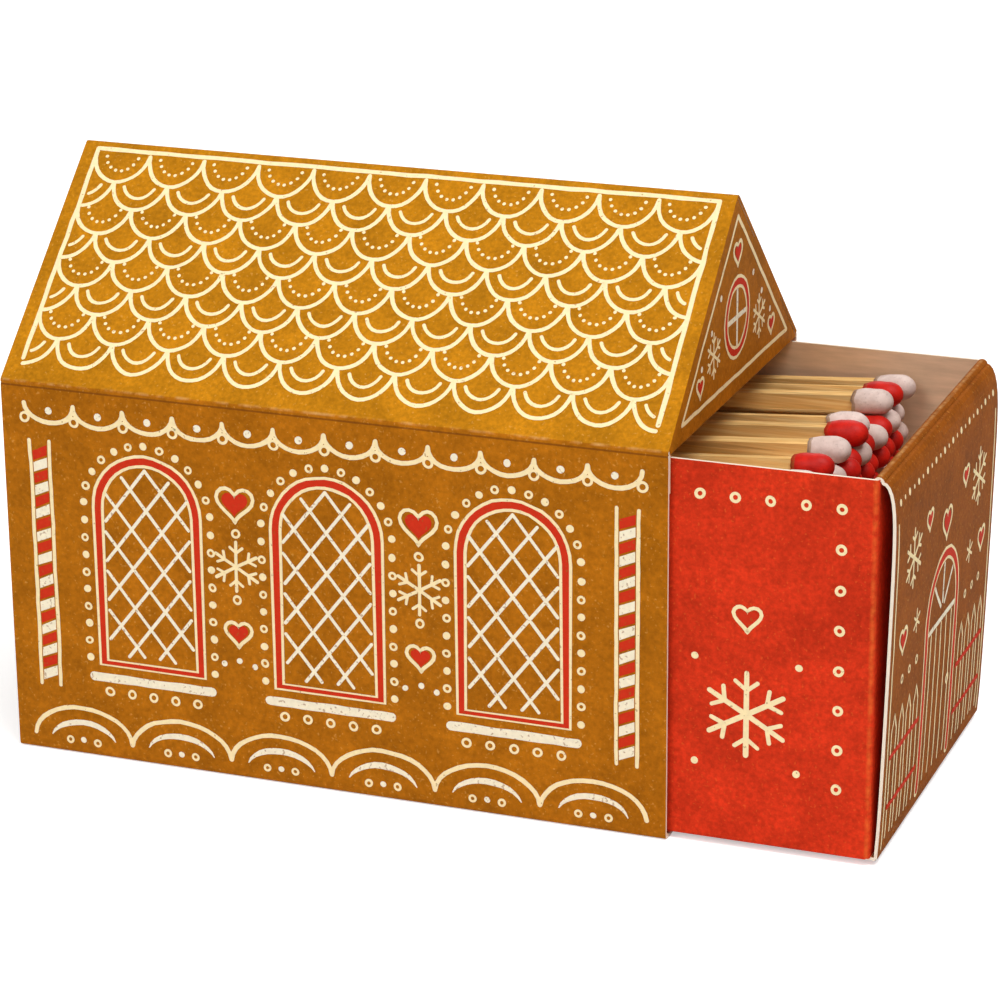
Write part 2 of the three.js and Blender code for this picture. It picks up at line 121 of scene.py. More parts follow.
class Shader:
    """A material whose nodes are made by short calls."""

    def __init__(self, name, roughness, gloss=0.03):
        self.material = bpy.data.materials.new(name)
        self.material.use_nodes = True
        self.nodes = self.material.node_tree.nodes
        self.links = self.material.node_tree.links
        self.surface = self.nodes["Principled BSDF"]
        self.surface.inputs["Roughness"].default_value = roughness
        self.surface.inputs["Specular IOR Level"].default_value = gloss
        self.place = self.nodes.new("ShaderNodeTexCoord").outputs["Object"]
        self.geometry = self.nodes.new("ShaderNodeNewGeometry")

    def put(self, socket, value):
        """Link a socket, or set a constant on it."""
        if isinstance(value, bpy.types.NodeSocket):
            self.links.new(value, socket)
        else:
            socket.default_value = value

    def math(self, operation, first, second=0.0, third=0.0):
        node = self.nodes.new("ShaderNodeMath")
        node.operation = operation
        for socket, value in zip(node.inputs, (first, second, third)):
            self.put(socket, value)
        return node.outputs[0]

    def over(self, value, edge):
        return self.math("GREATER_THAN", value, edge)

    def under(self, value, edge):
        return self.math("LESS_THAN", value, edge)

    def minus(self, first, second):
        return self.math("SUBTRACT", first, second)

    def size(self, value):
        return self.math("ABSOLUTE", value)

    def both(self, first, second):
        """Where two masks meet, or a mask at part of its strength."""
        return self.math("MULTIPLY", first, second)

    def either(self, first, second):
        return self.math("MAXIMUM", first, second)

    def split(self, vector):
        node = self.nodes.new("ShaderNodeSeparateXYZ")
        self.links.new(vector, node.inputs[0])
        return node.outputs

    def stretch(self, scale):
        node = self.nodes.new("ShaderNodeMapping")
        node.inputs["Scale"].default_value = scale
        self.links.new(self.place, node.inputs["Vector"])
        return node.outputs[0]

    def noise(self, scale, detail=3.0, vector=None, rough=0.55):
        node = self.nodes.new("ShaderNodeTexNoise")
        node.inputs["Scale"].default_value = scale
        node.inputs["Detail"].default_value = detail
        node.inputs["Roughness"].default_value = rough
        self.links.new(vector or self.place, node.inputs["Vector"])
        return node.outputs["Fac"]

    def range(self, value, low, high, to_low=0.0, to_high=1.0):
        node = self.nodes.new("ShaderNodeMapRange")
        for name, number in (("From Min", low), ("From Max", high), ("To Min", to_low), ("To Max", to_high)):
            node.inputs[name].default_value = number
        self.put(node.inputs["Value"], value)
        return node.outputs[0]

    def mix(self, share, first, second, blend="MIX"):
        node = self.nodes.new("ShaderNodeMix")
        node.data_type = "RGBA"
        node.blend_type = blend
        self.put(node.inputs["Factor"], share)
        self.put(node.inputs["A"], first)
        self.put(node.inputs["B"], second)
        return node.outputs["Result"]

    def tone(self, colour, value, low, high):
        """The colour made darker or lighter by a value from 0 to 1."""
        factor = self.range(value, 0.3, 0.7, low, high)
        node = self.nodes.new("ShaderNodeVectorMath")
        node.operation = "SCALE"
        self.put(node.inputs[0], colour if isinstance(colour, bpy.types.NodeSocket) else colour[:3])
        self.links.new(factor, node.inputs["Scale"])
        return node.outputs[0]

    def bump(self, height, strength, distance):
        """A relief in metres, from a height of 0 to 1."""
        node = self.nodes.new("ShaderNodeBump")
        node.inputs["Strength"].default_value = strength
        node.inputs["Distance"].default_value = distance
        self.links.new(height, node.inputs["Height"])
        self.links.new(node.outputs[0], self.surface.inputs["Normal"])

    def finish(self, colour):
        self.put(self.surface.inputs["Base Color"], colour)
        return self.material


def printed_ground(shader, colour, fleck_colour=FLECK_TAN, fleck_share=0.35):
    """A solid ink on board: blotches, a fine fibre grain and a few paler flecks."""
    blotch = shader.noise(140, 4)
    grain = shader.noise(1500, 3)
    ground = shader.tone(shader.tone(colour, blotch, 0.8, 1.12), grain, 0.8, 1.16)
    fleck = shader.range(shader.noise(2200, 2, rough=0.3), 0.66, 0.76)
    return shader.mix(shader.both(fleck, fleck_share), ground, fleck_colour)


def board_colour(shader):
    """Unprinted board: warm grey with drawn-out fibres."""
    fibre = shader.noise(900, 4, shader.stretch((0.15, 1, 1)))
    cloud = shader.noise(90, 3)
    return shader.tone(shader.tone(BARE_BOARD, fibre, 0.88, 1.1), cloud, 0.92, 1.07)


def sleeve_material():
    """Printed outside, bare board inside, pale cut edges at the open ends."""
    shader = Shader("gingerbread_card", 0.62)
    x, y, z = shader.split(shader.place)
    nx, ny, nz = shader.split(shader.geometry.outputs["True Normal"])
    mid = 50 * MM
    outward = shader.math("ADD", shader.both(ny, y), shader.both(nz, shader.minus(z, mid)))
    outside = shader.over(outward, 0.0)
    end_face = shader.over(shader.size(nx), 0.9)
    depth = shader.size(y)
    gable_face = shader.both(end_face, shader.over(z, GABLE_FOOT * MM))
    at_end = shader.both(end_face, shader.over(shader.size(x), (LENGTH / 2 - 0.05) * MM))
    in_wall = shader.over(depth, (DEPTH / 2 - CARD - 0.2) * MM)
    wall_edge = shader.both(in_wall, shader.under(z, WALL * MM))
    base_edge = shader.under(z, (CARD + 0.1) * MM)
    cut = shader.both(at_end, shader.either(wall_edge, base_edge))
    roof = shader.over(z, (WALL + 0.05) * MM)
    slope = shader.both(roof, shader.under(shader.size(nx), 0.5))
    brown = printed_ground(shader, shader.mix(slope, WALL_BROWN, ROOF_BROWN))

    # The twice-scored crease along the front eave: painted shade in its lower score line, and rubbed card
    # along the fold
    from_eave = shader.minus(z, WALL * MM)
    on_wall = shader.over(depth, (DEPTH / 2 - 0.6) * MM)
    # Painted shade: a dark line 0.75 mm under the eave, where the score's groove is
    from_crease = shader.size(shader.math("ADD", from_eave, 0.75 * MM))
    crease_shade = shader.both(shader.range(from_crease, 0.08 * MM, 0.22 * MM, 1.0, 0.0), on_wall)
    brown = shader.mix(shader.both(crease_shade, 0.7), brown, CREASE_SHADE)
    near_fold = shader.range(shader.size(from_eave), 0.05 * MM, 0.3 * MM, 1.0, 0.0)
    fold = shader.both(near_fold, on_wall)
    rubbed = shader.both(fold, shader.range(shader.noise(400, 4), 0.45, 0.65))
    brown = shader.mix(shader.both(rubbed, 0.45), brown, RUBBED_EDGE)

    skin = shader.mix(shader.either(outside, gable_face), board_colour(shader), brown)
    colour = shader.mix(cut, skin, CUT_EDGE)
    shader.bump(shader.noise(1100, 4), 0.25, 0.06 * MM)
    return shader.finish(colour)


def tray_material():
    """Orange-red long walls and tabs, brown end panels, bare board inside, pale cut edges."""
    shader = Shader("tray_card", 0.6)
    x, y, z = shader.split(shader.place)
    nx, ny, nz = shader.split(shader.geometry.outputs["True Normal"])
    from_middle = shader.size(shader.minus(x, PULL_OUT * MM))
    end_normal = shader.both(nx, shader.math("SIGN", shader.minus(x, PULL_OUT * MM)))
    side_normal = shader.both(ny, shader.math("SIGN", y))
    depth = shader.size(y)
    wall_out = shader.both(shader.over(depth, (TRAY_FACE - 1.0) * MM), shader.over(side_normal, 0.1))
    tab_out = shader.both(shader.over(end_normal, 0.3), shader.over(from_middle, (TRAY_CORNER - 1.0) * MM))
    under = shader.both(shader.under(z, 1.2 * MM), shader.under(nz, -0.3))
    red = shader.either(shader.either(wall_out, tab_out), under)
    beyond_corner = shader.over(from_middle, (TRAY_CORNER + 0.05) * MM)
    over_rim = shader.over(z, (RIM - 3.5) * MM)
    panel_out = shader.both(beyond_corner, shader.over(end_normal, -0.2))
    turned_in = shader.both(over_rim, shader.over(from_middle, (TRAY_CORNER - 1.3) * MM))
    turned_in = shader.both(turned_in, shader.under(depth, (TRAY_FACE - CARD - 0.05) * MM))
    faces_out = shader.both(end_normal, shader.under(from_middle, (TRAY_CORNER + 0.05) * MM))
    turned_in = shader.both(turned_in, shader.under(faces_out, 0.3))
    brown = shader.either(panel_out, turned_in)
    red_ground = printed_ground(shader, CARD_RED, MOTTLE_ORANGE, 0.3)
    # A paler orange streak, patchy along its length, on the front wall beside each corner fold
    from_corner = shader.size(shader.minus(from_middle, (TRAY_CORNER - 0.5) * MM))
    corner = shader.both(shader.range(from_corner, 0.1 * MM, 0.5 * MM, 1.0, 0.0), wall_out)
    pale_corner_streak = shader.both(corner, shader.range(shader.noise(500, 4), 0.35, 0.6))
    red_ground = shader.mix(shader.both(pale_corner_streak, 0.6), red_ground, MOTTLE_ORANGE)
    colour = shader.mix(red, board_colour(shader), red_ground)
    colour = shader.mix(brown, colour, printed_ground(shader, PANEL_BROWN))

    crest = shader.both(turned_in, shader.range(z, (RIM + 0.2) * MM, (RIM + 0.3) * MM))
    rubbed = shader.both(crest, shader.range(shader.noise(900, 4), 0.35, 0.65))
    colour = shader.mix(shader.both(rubbed, 0.4), colour, RUBBED_EDGE)

    wall_rim = shader.both(shader.over(nz, 0.9), shader.over(z, (RIM - 0.2) * MM))
    wall_rim = shader.both(wall_rim, shader.over(depth, (TRAY_FACE - CARD - 0.05) * MM))
    at_panel = shader.over(from_middle, (TRAY_CORNER - 1.3) * MM)
    panel_side = shader.both(shader.over(side_normal, 0.9), at_panel)
    panel_side = shader.both(panel_side, shader.under(depth, (TRAY_FACE - CARD - 0.05) * MM))
    colour = shader.mix(shader.either(wall_rim, panel_side), colour, CUT_EDGE)
    shader.bump(shader.noise(1100, 4), 0.22, 0.06 * MM)
    return shader.finish(colour)


def ink_material(name, colour, speckle):
    """Ink on the card, rubbed through in tiny brown specks."""
    shader = Shader(name, 0.6)
    grain = shader.noise(1300, 3)
    colour = shader.tone(colour, grain, 0.93, 1.04)
    speck = shader.range(shader.noise(1900, 2, rough=0.4), 0.62 + speckle, 0.68 + speckle)
    shader.bump(grain, 0.15, 0.03 * MM)
    return shader.finish(shader.mix(shader.both(speck, 0.55), colour, WORN_INK))


def wood_material():
    """Split softwood: long grain lines, darker streaks and a little difference from stick to stick."""
    shader = Shader("match_wood", 0.7)
    along = shader.noise(1700, 5, shader.stretch((0.02, 1, 1)), 0.65)
    streak = shader.noise(420, 4, shader.stretch((0.04, 1, 1)), 0.6)
    colour = shader.mix(shader.range(along, 0.3, 0.7), WOOD_DARK, WOOD_LIGHT)
    colour = shader.tone(colour, streak, 0.66, 1.12)
    ray = shader.range(shader.noise(900, 2, shader.stretch((0.03, 1, 1))), 0.6, 0.68)
    colour = shader.mix(shader.both(ray, 0.45), colour, WOOD_RAY)
    shader.bump(along, 0.5, 0.12 * MM)
    return shader.finish(colour)


def head_material(name, colour, shade, speck):
    """Dried match composition: slightly uneven, with a dull gloss and fine grit."""
    shader = Shader(name, 0.5, gloss=0.2)
    patch = shader.noise(500, 4)
    grit = shader.noise(2600, 3)
    body = shader.mix(shader.range(patch, 0.35, 0.7), colour, shade)
    body = shader.mix(shader.range(grit, 0.6, 0.72, 0.0, 0.35), body, speck)
    shader.bump(grit, 0.5, 0.08 * MM)
    return shader.finish(body)


def striker_material():
    """Striking surface: dark brown grit."""
    shader = Shader("striker", 0.85)
    grit = shader.noise(1800, 4)
    shader.bump(grit, 0.8, 0.1 * MM)
    return shader.finish(shader.tone(STRIKER_BROWN, grit, 0.7, 1.35))


def floor_material():
    """A pale floor that the camera sees as white wherever no shadow falls."""
    shader = Shader("pale_floor", 0.85)
    seen = shader.nodes.new("ShaderNodeLightPath").outputs["Is Camera Ray"]
    shader.surface.inputs["Emission Color"].default_value = (1.0, 1.0, 1.0, 1.0)
    shader.put(shader.surface.inputs["Emission Strength"], shader.both(seen, FLOOR_GLOW))
    return shader.finish(shader.tone(FLOOR_WHITE, shader.noise(3), 0.995, 1.0))


materials = {
    "sleeve": sleeve_material(),
    "tray": tray_material(),
    "icing": ink_material("icing_ink", ICING, 0.06),
    "white": ink_material("white_ink", WHITE_INK, 0.0),
    "red": ink_material("red_ink", RED_INK, 0.04),
    "wood": wood_material(),
    "head_red": head_material("red_head", *HEAD_RED),
    "head_white": head_material("white_head", *HEAD_WHITE),
    "head_red_collar": head_material("red_collar", *COLLAR_RED),
    "head_white_collar": head_material("white_collar", *COLLAR_WHITE),
    "striker": striker_material(),
    "floor": floor_material(),
}


# Faces of the box, as maps from millimetres on the face to millimetres in the frame
def flat_face(corner, across, up):
    """A flat side of the box, from its lower left corner."""
    corner, across, up = Vector(corner), Vector(across), Vector(up)
    out = across.cross(up)
    return lambda u, v, lift: corner + across * u + up * v + out * lift


def end_panel_face():
    """The tray's bowed right-hand end panel, found on the solid itself."""
    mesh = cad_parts["tray"].data
    tree = BVHTree.FromPolygons([v.co for v in mesh.vertices], [p.vertices for p in mesh.polygons])
    start = tray_high.x + 20

    def place(u, v, lift):
        y = u - PANEL_WIDTH / 2
        z = tray_low.z + v
        hit = tree.ray_cast(Vector((start, y, z)) * MM, Vector((-1, 0, 0)))
        x = hit[0].x / MM if hit[0] else tray_high.x
        return Vector((x + lift, y, z))

    return place


half, side = LENGTH / 2, DEPTH / 2
rise, run = sin(ROOF_ANGLE), cos(ROOF_ANGLE)
rear_up = Vector((0, -side, RIDGE - REAR_EAVE)).normalized()
faces = {
    "front_wall": flat_face((-half, -side, 0), (1, 0, 0), (0, 0, 1)),
    "front_roof": flat_face((-half, -side, WALL), (1, 0, 0), (0, run, rise)),
    "rear_wall": flat_face((half, side, 0), (-1, 0, 0), (0, 0, 1)),
    "rear_roof": flat_face((half, side, REAR_EAVE), (-1, 0, 0), rear_up),
    "right_gable": flat_face((half, -side, WALL), (0, 1, 0), (0, 0, 1)),
    "left_gable": flat_face((-half, side, WALL), (0, -1, 0), (0, 0, 1)),
    "tray_front": flat_face((PULL_OUT - TRAY_CORNER, -TRAY_FACE, tray_low.z), (1, 0, 0), (0, 0, 1)),
    "underside": flat_face((-half, side, 0), (1, 0, 0), (0, -1, 0)),
}


def wobble(point, amount=0.16):
    """The small unevenness of a line drawn by hand."""
    u, v = point
    across = noise.noise(Vector((u * 0.31, v * 0.31, 3.7)))
    up = noise.noise(Vector((u * 0.31, v * 0.31, 9.1)))
    return (u + amount * across, v + amount * up)


class Drawing:
    """Shapes on one face, kept by colour until they become meshes."""

    def __init__(self, face, name, body, slot):
        self.face = face
        self.name = name
        self.body = body
        self.slot = slot
        self.shapes = {}
        self.drawn = 0

    def next_hair(self):
        """A tiny lift, so that shapes of one layer that cross aren't in one plane."""
        self.drawn += 1
        return HAIR * (self.drawn % 13)

    def polygon(self, ink, points, lift, hair=None):
        """One filled shape."""
        lift += self.next_hair() if hair is None else hair
        if ink == "white":
            lift += HAIR / 2
        self.shapes.setdefault(ink, []).append([(*wobble(point), lift) for point in points])

    def line(self, ink, points, width, lift=UNDER, closed=False, taper=False):
        """A stroke along the points, with round ends that are a little uneven."""
        spots = [Vector(point) for point in points]
        last = len(spots) - 1
        rails = []
        for i, spot in enumerate(spots):
            before = spots[i - 1] if closed or i > 0 else spot
            after = spots[(i + 1) % len(spots)] if closed or i < last else spot
            along = (after - before).normalized()
            share = 1.0
            if taper:
                share = max(0.16, sin(pi * i / last) ** 0.6)
            half_width = width / 2 * share * (1 + 0.12 * noise.noise(Vector((spot.x, spot.y, 1.0))))
            across = Vector((-along.y, along.x)) * half_width
            rails.append((spot + across, spot - across))
        count = len(rails) if closed else last
        hair = self.next_hair()
        for i in range(count):
            a, b = rails[i], rails[(i + 1) % len(rails)]
            self.polygon(ink, [a[1], b[1], b[0], a[0]], lift, hair + HAIR / 3 * (i % 2))
        if not closed and not taper:
            for spot in (spots[0], spots[-1]):
                self.dot(ink, spot, width / 2, lift)

    def dot(self, ink, centre, radius, lift=UNDER, sides=12):
        turn = 2 * pi / sides
        centre = Vector(centre)
        edge = [centre + radius * Vector((cos(k * turn), sin(k * turn))) for k in range(sides)]
        self.polygon(ink, edge, lift)

    def ring(self, ink, centre, radius, width, lift=UNDER, sides=16):
        turn = 2 * pi / sides
        centre = Vector(centre)
        edge = [centre + radius * Vector((cos(k * turn), sin(k * turn))) for k in range(sides)]
        self.line(ink, edge, width, lift, closed=True)

    def piped(self, points, width=1.15, closed=False):
        """A red line between two cream ones."""
        self.line("icing", points, width + 1.0, UNDER, closed)
        self.line("red", points, width, OVER, closed)

    def build(self):
        """One mesh for each ink."""
        for ink, polygons in self.shapes.items():
            vertices, loops = [], []
            for polygon in polygons:
                loops.append(list(range(len(vertices), len(vertices) + len(polygon))))
                vertices += [self.face(*corner) * MM for corner in polygon]
            mesh = bpy.data.meshes.new(f"{self.name}_{ink}")
            mesh.from_pydata(vertices, [], loops)
            piece = bpy.data.objects.new(mesh.name, mesh)
            bpy.context.collection.objects.link(piece)
            mesh.materials.append(materials[ink])
            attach(piece, self.body)


def arc(centre, radii, start, end, steps):
    """Points on part of an ellipse, with angles in degrees."""
    angles = [radians(start + (end - start) * k / steps) for k in range(steps + 1)]
    return [(centre[0] + radii[0] * cos(a), centre[1] + radii[1] * sin(a)) for a in angles]


def straight(start, end, step=2.0):
    """Points along a straight line, close enough together to follow a bowed card."""
    count = max(1, ceil(hypot(end[0] - start[0], end[1] - start[1]) / step))
    return [
        (start[0] + (end[0] - start[0]) * k / count, start[1] + (end[1] - start[1]) * k / count)
        for k in range(count + 1)
    ]


def heart(centre, size, steps=28):
    """A heart's outline, size being about half its width."""
    points = []
    for k in range(steps):
        t = 2 * pi * k / steps
        x = 16 * sin(t) ** 3
        y = 13 * cos(t) - 5 * cos(2 * t) - 2 * cos(3 * t) - cos(4 * t)
        points.append((centre[0] + x * size / 16, centre[1] + y * size / 16))
    return points


def draw_heart(drawing, centre, size):
    """A red heart inside a cream outline."""
    drawing.line("icing", heart(centre, size), 0.6, UNDER, closed=True)
    drawing.polygon("red", heart(centre, size * 0.72), OVER)


def snowflake(drawing, centre, radius, width=0.55, arms=6):
    """Arms with a pair of side twigs each."""
    centre = Vector(centre)
    for k in range(arms):
        turn = 2 * pi * k / arms + pi / 2
        along = Vector((cos(turn), sin(turn)))
        drawing.line("icing", [centre, centre + along * radius], width)
        if radius < 2:
            continue
        joint = centre + along * radius * 0.58
        for twig in (radians(52), radians(-52)):
            way = Vector((cos(turn + twig), sin(turn + twig)))
            drawing.line("icing", [joint, joint + way * radius * 0.34], width * 0.85)


def scalloped_roof(drawing):
    """Rounded tiles in rows, dotted and lined in turn, inside a cream border."""
    columns, rows = 11, 8
    edge, top, foot = 2.6, SLOPE - 1.7, 3.6
    pitch = (LENGTH - 2 * edge) / columns
    row_height = (top - foot) / (rows + 0.15)
    corners = [(edge, foot + 0.6), (edge, top), (LENGTH - edge, top), (LENGTH - edge, foot + 0.6)]
    for start, end in zip(corners, corners[1:]):
        drawing.line("icing", straight(start, end, 3), 0.75)
    for row in range(rows):
        shift = 0.5 if row % 2 else 0.0
        level = top - 0.35 - row * row_height
        trim = 4 if row == 0 else 11
        for column in range(columns + (row % 2)):
            middle = edge + (column + 0.5 - shift) * pitch
            radii = (pitch / 2, row_height * 1.16)
            start, end = 180 + trim, 360 - trim
            if row % 2 and column == 0:
                start = 272
            if row % 2 and column == columns:
                end = 268
            drawing.line("icing", arc((middle, level), radii, start, end, 14), 0.66)
            inner = (radii[0] * 0.62, radii[1] * 0.62)
            if row % 2 == 0:
                for point in arc((middle, level), inner, 196, 344, 7):
                    drawing.dot("icing", point, 0.3, sides=8)
            else:
                first, last = max(start, 206), min(end, 334)
                if row % 2 and column in (0, columns):
                    first, last = (290, 334) if column == 0 else (206, 250)
                drawing.line("icing", arc((middle, level), inner, first, last, 9), 0.56)


def arched_window(drawing, centre, foot, width, height):
    """A red frame with cream edges round diamond panes, on a dotted sill."""
    half_width = width / 2
    spring = foot + height - half_width
    frame_line = [(centre - half_width, foot), (centre - half_width, spring)]
    frame_line += arc((centre, spring), (half_width, half_width), 180, 0, 18)[1:]
    frame_line += [(centre + half_width, foot)]
    drawing.piped(frame_line, 1.1, closed=True)

    def height_at(u):
        across = min(abs(u - centre), half_width - 0.01)
        return spring + (half_width ** 2 - across ** 2) ** 0.5

    inset = 1.3
    step = 6.6
    for lean in (1, -1):
        for k in range(-8, 12):
            offset = foot + k * step
            points = []
            for i in range(33):
                u = centre - half_width + inset + (width - 2 * inset) * i / 32
                v = offset + lean * (u - centre) * 1.25
                if foot + inset < v < height_at(u) - inset:
                    points.append((u, v))
            if len(points) > 2:
                drawing.line("white", [points[0], points[-1]], 0.55)
    out = half_width + 2.4
    beads = [(*point, k % 2) for k, point in enumerate(arc((centre, spring), (out, out), 176, 4, 12))]
    for k in range(9):
        level = foot + 0.6 + k * (spring - foot) / 9
        beads += [(centre + way * out, level, k % 2) for way in (-1, 1)]
    for u, v, hollow in beads:
        if hollow:
            drawing.ring("icing", (u, v), 0.5, 0.4)
        else:
            drawing.dot("icing", (u, v), 0.64)
    sill = foot - 2.6
    drawing.line("white", straight((centre - half_width - 1.8, sill), (centre + half_width + 1.8, sill)), 1.5)
    for k in range(5):
        drawing.ring("icing", (centre + (k - 2) * width / 4.4, sill - 2.4), 0.62, 0.42)


def candy_post(drawing, u, foot, head):
    """A post of slanted red and cream stripes between two cream lines."""
    half_width = 1.7
    for side_of in (-1, 1):
        edge = u + side_of * half_width
        drawing.line("icing", straight((edge, foot), (edge, head)), 0.6)
    step = 1.95
    for k in range(int((head - foot - 2) / step)):
        base = foot + 0.6 + k * step
        corners = [(u - 1.25, base), (u + 1.25, base + 1.1), (u + 1.25, base + 2.7), (u - 1.25, base + 1.6)]
        drawing.polygon("red" if k % 2 else "white", corners, UNDER)


def wall_print(drawing):
    """Swags under the eave, three windows, hearts and snowflakes between, and drifts along the foot."""
    swags = 12
    pitch = (LENGTH - 8) / swags
    for k in range(swags):
        middle = 4 + (k + 0.5) * pitch
        drawing.line("icing", arc((middle, 58.6), (pitch / 2, 3.0), 180, 360, 12), 0.75)
        drawing.dot("white", (middle, 57.5), 0.62)
    for k in range(swags + 1):
        drawing.ring("icing", (4 + k * pitch, 56.2), 0.7, 0.45)
    for u in (24.5, LENGTH / 2, LENGTH - 24.5):
        arched_window(drawing, u, 16.5, 17.0, 34.5)
    for u in (LENGTH * 0.361, LENGTH * 0.639):
        draw_heart(drawing, (u, 46.0), 3.1)
        snowflake(drawing, (u, 35.5), 4.0)
        for v in (40.9, 30.1):
            drawing.ring("icing", (u, v), 0.6, 0.42)
        draw_heart(drawing, (u, 24.5), 2.3)
        for shift in (-2.6, 0, 2.6):
            drawing.dot("white", (u + shift, 19.8 - abs(shift) * 0.25), 0.5)
    for u in (6.3, LENGTH - 6.3):
        candy_post(drawing, u, 11.5, 52.5)
    drifts = 6
    drift = (LENGTH - 6) / drifts
    for k in range(drifts):
        middle = 3 + (k + 0.5) * drift
        drawing.line("icing", arc((middle, 2.4), (drift / 2, 5.6), 176, 4, 16), 0.75)
        drawing.line("white", arc((middle, 1.8), (drift * 0.34, 3.7), 165, 15, 12), 1.0, taper=True)
        drawing.dot("white", (middle, 2.4), 0.5)
        for shift in (-2.4, 2.4):
            drawing.ring("icing", (middle + shift, 2.3), 0.5, 0.4)


def gable_print(drawing):
    """A round window, hearts and snowflakes inside a border that follows the slopes."""
    centre = DEPTH / 2
    height = RIDGE - WALL
    inset = 2.6
    foot = 2.2
    reach = centre - inset / rise - foot / (rise / run)
    peak = height - inset / run
    drawing.line("icing", straight((centre - reach, foot), (centre, peak)), 0.7)
    drawing.line("icing", straight((centre, peak), (centre + reach, foot)), 0.7)
    drawing.line("icing", straight((centre - reach, foot), (centre + reach, foot)), 0.7)
    window = (centre, 11.6)
    drawing.piped(arc(window, (5.6, 5.6), 0, 345, 23), 1.0, closed=True)
    for turn in (0, 90):
        bar = arc(window, (4.5, 4.5), turn + 180, turn, 1)
        drawing.line("white", bar, 0.8)
    draw_heart(drawing, (centre, 21.8), 2.1)
    for way in (-1, 1):
        snowflake(drawing, (centre + way * 11.6, 8.6), 3.4, 0.5)
        draw_heart(drawing, (centre + way * 18.2, 5.6), 1.7)
        for k in range(3):
            drawing.dot("white", (centre + way * (8.2 + k * 4.6), 16.6 - k * 4.2), 0.5)


def end_panel_print(drawing):
    """A door between two bits of fence, under hearts, snowflakes and a dotted edge."""
    width = PANEL_WIDTH
    centre = width / 2
    head = 57.2
    spots = 23
    for k in range(spots):
        u = 3.0 + k * (width - 6.0) / (spots - 1)
        drawing.dot("icing", (u, 55.8), 0.36 if k % 2 else 0.56)
    for u in (1.6, width - 1.6):
        drawing.line("icing", straight((u, 1.5), (u, head - 4.6), 1.5), 0.55)
    foot, door_half, spring = 2.6, 9.2, 29.0
    door = straight((centre - door_half, foot), (centre - door_half, spring))
    door += arc((centre, spring), (door_half, door_half), 180, 0, 18)[1:-1]
    door += straight((centre + door_half, spring), (centre + door_half, foot))
    drawing.piped(door, 1.3)
    for k in range(-2, 3):
        top = spring - 2.0
        drawing.line("icing", straight((centre + k * 3.1, foot + 0.6), (centre + k * 3.1, top), 1.5), 0.5)
    drawing.line("white", straight((centre - 7.6, spring - 1.2), (centre + 7.6, spring - 1.2)), 0.9)
    for k in range(1, 4):
        a = radians(45 * k)
        start = (centre + 1.6 * cos(a), spring + 1.6 * sin(a))
        end = (centre + 7.6 * cos(a), spring + 7.6 * sin(a))
        drawing.line("white", straight(start, end, 1.5), 0.7)
    drawing.ring("icing", (centre + 6.0, 15.5), 0.7, 0.5)
    draw_heart(drawing, (centre, 43.6), 2.8)
    for way in (-1, 1):
        snowflake(drawing, (centre + way * 20.0, 44.5), 4.6, 0.6)
        draw_heart(drawing, (centre + way * 11.0, 47.6), 1.8)
        snowflake(drawing, (centre + way * 16.2, 33.2), 1.8, 0.45)
        draw_heart(drawing, (centre + way * 24.0, 33.0), 2.2)
        for k in range(4):
            u = centre + way * (13.9 + k * 4.2)
            picket = [(u - 1.25, foot), (u - 1.25, 19.5), (u, 22.0), (u + 1.25, 19.5), (u + 1.25, foot)]
            outline = []
            for start, end in zip(picket, picket[1:]):
                outline += straight(start, end, 1.5)[:-1]
            drawing.line("icing", outline + [picket[-1]], 0.5)
        for rail in (7.5, 15.5):
            drawing.line("red", straight((centre + way * 11.6, rail), (centre + way * 28.0, rail)), 0.9, OVER)
        for k in range(3):
            drawing.ring("icing", (centre + way * (15.0 + k * 4.2), 26.5), 0.55, 0.4)


def tray_front_print(drawing):
    """Ring dots round the edge, and a snowflake at each end."""
    length = 2 * TRAY_CORNER
    across = 18
    pitch = (length - 2 * 5.4) / across
    for k in range(across + 1):
        drawing.ring("icing", (5.4 + k * pitch, RIM - tray_low.z - 5.0), 0.62, 0.5)
    for u in (5.4, length - 5.4):
        for k in range(1, 8):
            drawing.ring("icing", (u, RIM - tray_low.z - 5.0 - k * 6.3), 0.62, 0.5)
    for u in (19.5, length - 19.5):
        snowflake(drawing, (u, 21.0), 6.6, 0.8)
        for way in (-1, 1):
            drawing.dot("icing", (u + way * 8.0, 12.5), 0.6)
            drawing.dot("icing", (u + way * 8.0, 29.5), 0.6)
        draw_heart(drawing, (u, 36.5), 2.2)


def draw_all():
    """The print of every side, and the striking strip under the box."""
    printed = "printed_card"
    for name in ("front_roof", "rear_roof"):
        drawing = Drawing(faces[name], name, SLEEVE, printed)
        scalloped_roof(drawing)
        drawing.build()
    for name in ("front_wall", "rear_wall"):
        drawing = Drawing(faces[name], name, SLEEVE, printed)
        wall_print(drawing)
        drawing.build()
    for name in ("right_gable", "left_gable"):
        drawing = Drawing(faces[name], name, SLEEVE, printed)
        gable_print(drawing)
        drawing.build()
    drawing = Drawing(end_panel_face(), "right_end_panel", TRAY, printed)
    end_panel_print(drawing)
    drawing.build()
    drawing = Drawing(faces["tray_front"], "tray_front", TRAY, "red_card")
    tray_front_print(drawing)
    drawing.build()
    striker = Drawing(faces["underside"], "striker_strip", SLEEVE, printed)
    margin, foot, head = 2.0, 22.0, 44.0
    far = LENGTH - margin
    striker.polygon("striker", [(margin, foot), (far, foot), (far, head), (margin, head)], UNDER)
    striker.build()


# Matches, in millimetres, as in the solids
STICK = 2.4
HEAD_LENGTH = 6.4
COLLAR_RINGS = 1
HEAD_RADIUS = 2.075
HEAD_COVER = 1.6
LOOSE_MATCHES = 22
RED_MATCHES = {1, 3, 5, 8, 10, 12, 13, 15, 16, 18, 20}
LOWER_LAYERS = 13
COLUMNS = 14
PITCH = 4.25
HEAD_RISE = 3.75
TAIL_RISE = 3.3


